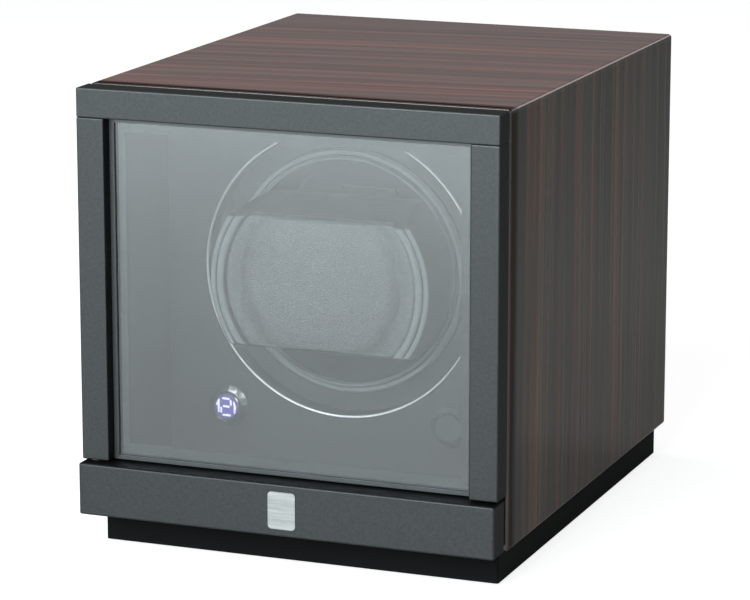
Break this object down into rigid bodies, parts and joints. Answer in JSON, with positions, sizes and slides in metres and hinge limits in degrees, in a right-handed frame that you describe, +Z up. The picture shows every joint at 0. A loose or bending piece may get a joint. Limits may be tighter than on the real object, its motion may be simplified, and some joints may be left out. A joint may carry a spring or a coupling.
{
  "type": "watch winder box",
  "caption": "Veneered box with a framed glass door; a motor turns a cushioned watch holder in a round cup behind the glass, set with push-buttons on the inner panel.",
  "frame": {"origin": "middle of the box's footprint on the surface it stands on", "axes": "+X to the right seen from the door, +Y from the door to the back, +Z up"},
  "size_m": [0.18, 0.2322, 0.192],
  "materials": {
    "veneer": "dark striped veneer under clear gloss lacquer",
    "black_board": "matt black lacquered board",
    "lining": "board covered in dark grey leatherette",
    "frame_metal": "satin anthracite anodised",
    "glass": "clear float glass",
    "gasket": "soft dark rubber",
    "polished_metal": "polished chrome",
    "plate_metal": "satin steel",
    "steel": "plain steel",
    "brass": "machined brass",
    "black_plastic": "black moulded plastic",
    "gear_plastic": "white acetal",
    "felt": "black felt",
    "leather": "fine grained dark leather",
    "display": "lit display window",
    "dark_window": "glossy black window",
    "board_green": "circuit board"
  },
  "bodies": {
    "case": {"top_panel": "veneer", "bottom_panel": "veneer", "left_panel": "veneer", "right_panel": "veneer", "plinth": "black_board", "back_panel": "black_board", "back_cleats": "black_board", "bulkhead": "black_board", "baffle_panel": "lining", "liner_left": "lining", "liner_right": "lining", "liner_top": "lining", "liner_bottom": "lining", "fascia_bar": "frame_metal", "door_bumpers": "gasket", "trim_ring": "polished_metal", "fascia_plate": "plate_metal", "hinge_arm": "steel", "pivot_pin": "steel", "door_magnets": "steel", "motor_bracket": "steel", "bracket_posts": "steel", "bracket_screws": "steel", "back_screws": "steel", "motor": "steel", "power_inlet_nut": "steel", "bearing_bush": "brass", "motor_gearbox": "black_plastic", "button_switches": "black_plastic", "button_board_posts": "black_plastic", "control_board_posts": "black_plastic", "control_components": "black_plastic", "power_inlet": "black_plastic", "fascia_spacers": "black_plastic", "pivot_washer": "gear_plastic", "feet": "felt", "button_board": "board_green", "control_board": "board_green"},
    "door": {"door_rail": "frame_metal", "left_stile": "frame_metal", "right_stile": "frame_metal", "corner_dowels": "steel", "glass_frame": "frame_metal", "glass_pane": "glass", "glass_gasket": "gasket", "strike_plates": "steel"},
    "rotor": {"rotor_cup": "black_plastic", "rotor_shaft": "steel", "drive_gear": "gear_plastic", "retaining_collar": "steel"},
    "motor_output": {"motor_pinion": "brass", "output_shaft": "steel"},
    "watch_holder": {"holder_core": "black_plastic", "front_pad": "leather", "grip_pads": "felt", "tension_bow": "steel"},
    "display_button": {"display_button": "polished_metal", "display_window": "display"},
    "light_button": {"light_button": "polished_metal", "light_window": "dark_window"}
  },
  "joints": [
    {"name": "door_hinge", "type": "hinge", "parent": "case", "child": "door", "pos_m": [-0.0855, -0.1063, 0], "axis": [0, 0, -1], "range_deg": [0, 110]},
    {"name": "rotor_spin", "type": "hinge", "parent": "case", "child": "rotor", "pos_m": [0, 0, 0.1102], "axis": [0, 1, 0], "continuous": true},
    {"name": "pinion_spin", "type": "hinge", "parent": "case", "child": "motor_output", "pos_m": [0, 0, 0.0742], "axis": [0, 1, 0], "continuous": true},
    {"name": "holder_slide", "type": "slide", "parent": "rotor", "child": "watch_holder", "axis": [0, -1, 0], "range_m": [0, 0.02]},
    {"name": "display_press", "type": "slide", "parent": "case", "child": "display_button", "axis": [0, 1, 0], "range_m": [0, 0.001], "stiffness_N_per_m": 400},
    {"name": "light_press", "type": "slide", "parent": "case", "child": "light_button", "axis": [0, 1, 0], "range_m": [0, 0.001], "stiffness_N_per_m": 400}
  ],
  "couplings": [
    {"joint": "pinion_spin", "follows": "rotor_spin", "ratio": -3}
  ]
}
